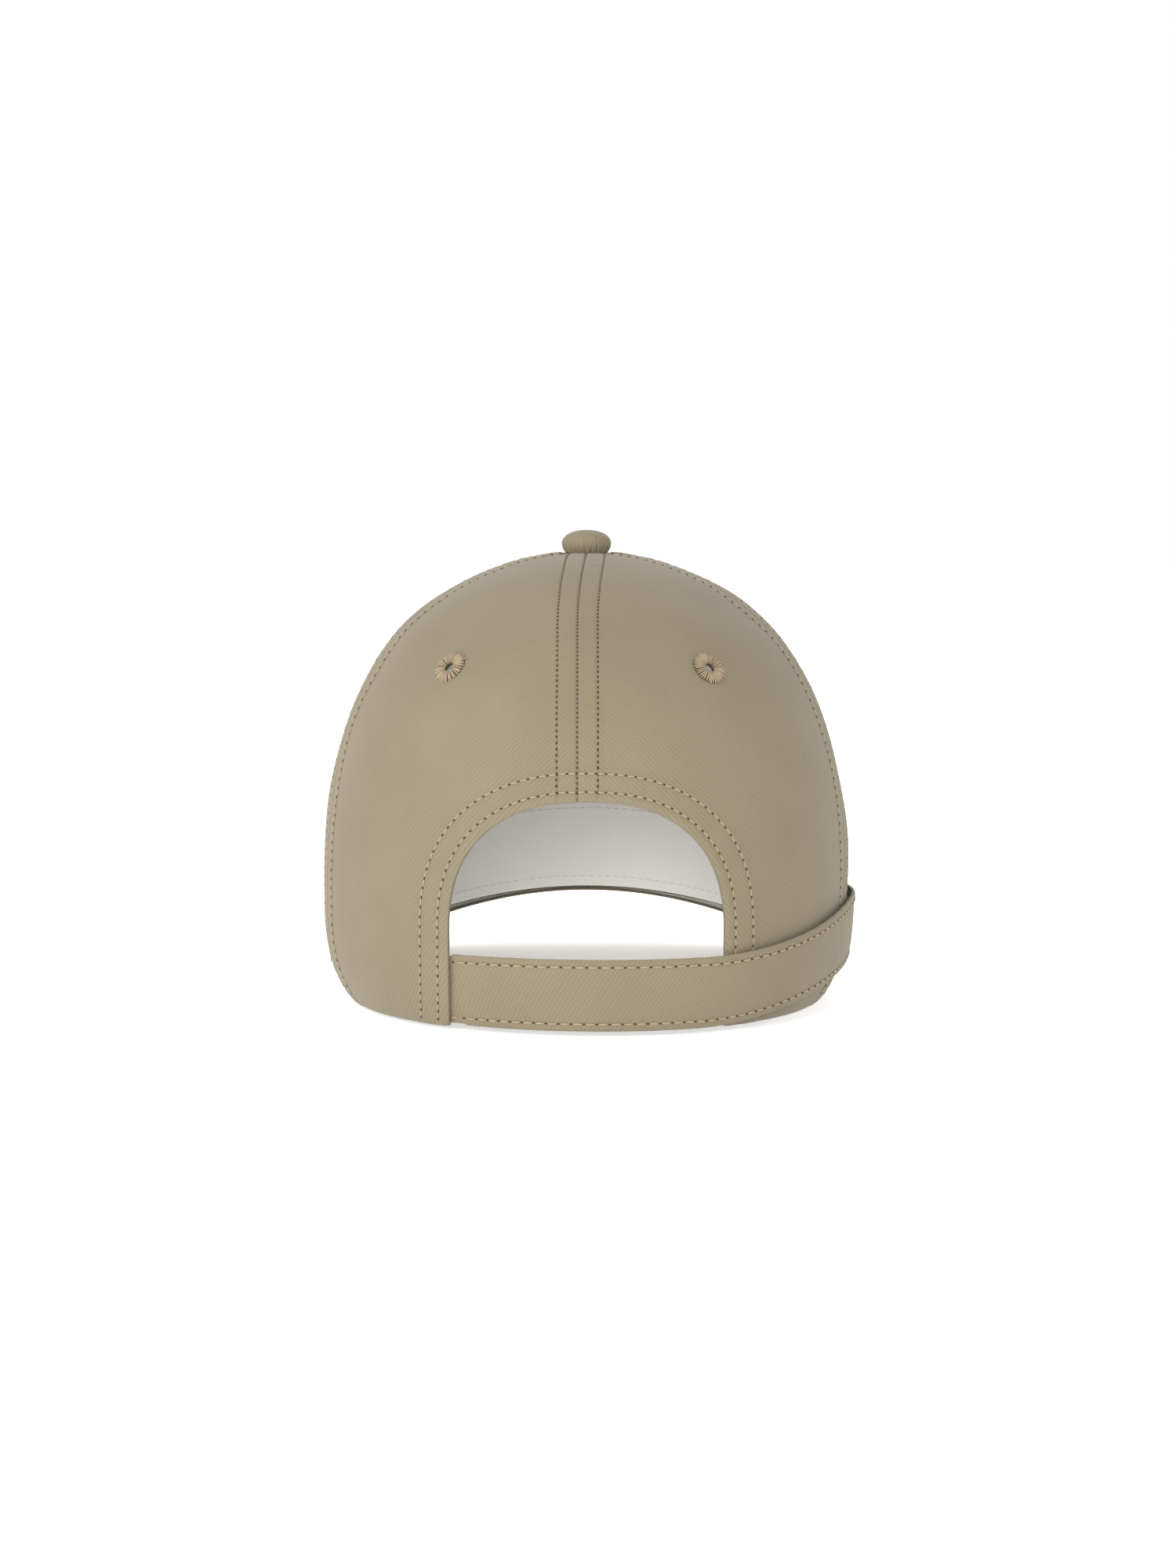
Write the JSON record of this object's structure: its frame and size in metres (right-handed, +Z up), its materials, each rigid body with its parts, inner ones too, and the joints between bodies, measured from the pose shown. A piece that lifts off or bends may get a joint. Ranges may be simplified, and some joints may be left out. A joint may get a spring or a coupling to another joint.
{
  "type": "baseball cap",
  "caption": "Six-panel structured cap with curved visor, covered top button, embroidered eyelets, rear arch and a self-fabric hook-and-loop strap.",
  "frame": {"origin": "centre of the head opening, level with the lowest edge of the rim, which is also the surface the cap stands on", "axes": "+Z up through the crown, -Y towards the visor's tip, +X to the wearer's left"},
  "size_m": [0.1808, 0.2715, 0.1531],
  "materials": {
    "khaki_twill": "fine cotton twill",
    "eyelet_thread": "embroidery thread",
    "white_buckram": "stiffened open weave",
    "seam_tape": "plain woven tape",
    "sweatband_cotton": "brushed cotton twill",
    "label_satin": "woven satin, blank",
    "hook_nylon": "moulded nylon hooks",
    "loop_pile": "brushed loop pile",
    "button_steel": "stamped steel",
    "visor_board": "moulded polyethylene"
  },
  "bodies": {
    "crown": {"rear_left_panel": "khaki_twill", "rear_left_eyelet": "eyelet_thread", "side_left_panel": "khaki_twill", "side_left_eyelet": "eyelet_thread", "front_left_panel": "khaki_twill", "front_left_eyelet": "eyelet_thread", "front_right_panel": "khaki_twill", "front_right_eyelet": "eyelet_thread", "side_right_panel": "khaki_twill", "side_right_eyelet": "eyelet_thread", "rear_right_panel": "khaki_twill", "rear_right_eyelet": "eyelet_thread", "front_left_buckram": "white_buckram", "front_right_buckram": "white_buckram", "rear_seam_tape": "seam_tape", "left_side_seam_tape": "seam_tape", "left_front_seam_tape": "seam_tape", "front_seam_tape": "seam_tape", "right_front_seam_tape": "seam_tape", "right_side_seam_tape": "seam_tape", "arch_facing": "seam_tape", "sweatband": "sweatband_cotton", "care_label": "label_satin", "strap_anchor": "khaki_twill", "loop_pad": "loop_pile", "button_cover": "khaki_twill", "button_shell": "button_steel", "button_rivet": "button_steel", "button_washer": "button_steel", "visor_lower_cover": "khaki_twill", "visor_board": "visor_board", "visor_upper_cover": "khaki_twill", "visor_edge_hem": "khaki_twill"},
    "strap": {"strap_main": "khaki_twill"},
    "strap_tail": {"strap_tail": "khaki_twill", "hook_pad": "hook_nylon"}
  },
  "joints": [
    {"name": "strap_root", "type": "hinge", "parent": "crown", "child": "strap", "pos_m": [0.04143, 0.08602, 0.0118], "axis": [0, 0, -1], "range_deg": [0, 75]},
    {"name": "strap_peel", "type": "hinge", "parent": "strap", "child": "strap_tail", "pos_m": [-0.04386, 0.08962, 0.0118], "axis": [0, 0, -1], "range_deg": [0, 80]}
  ]
}
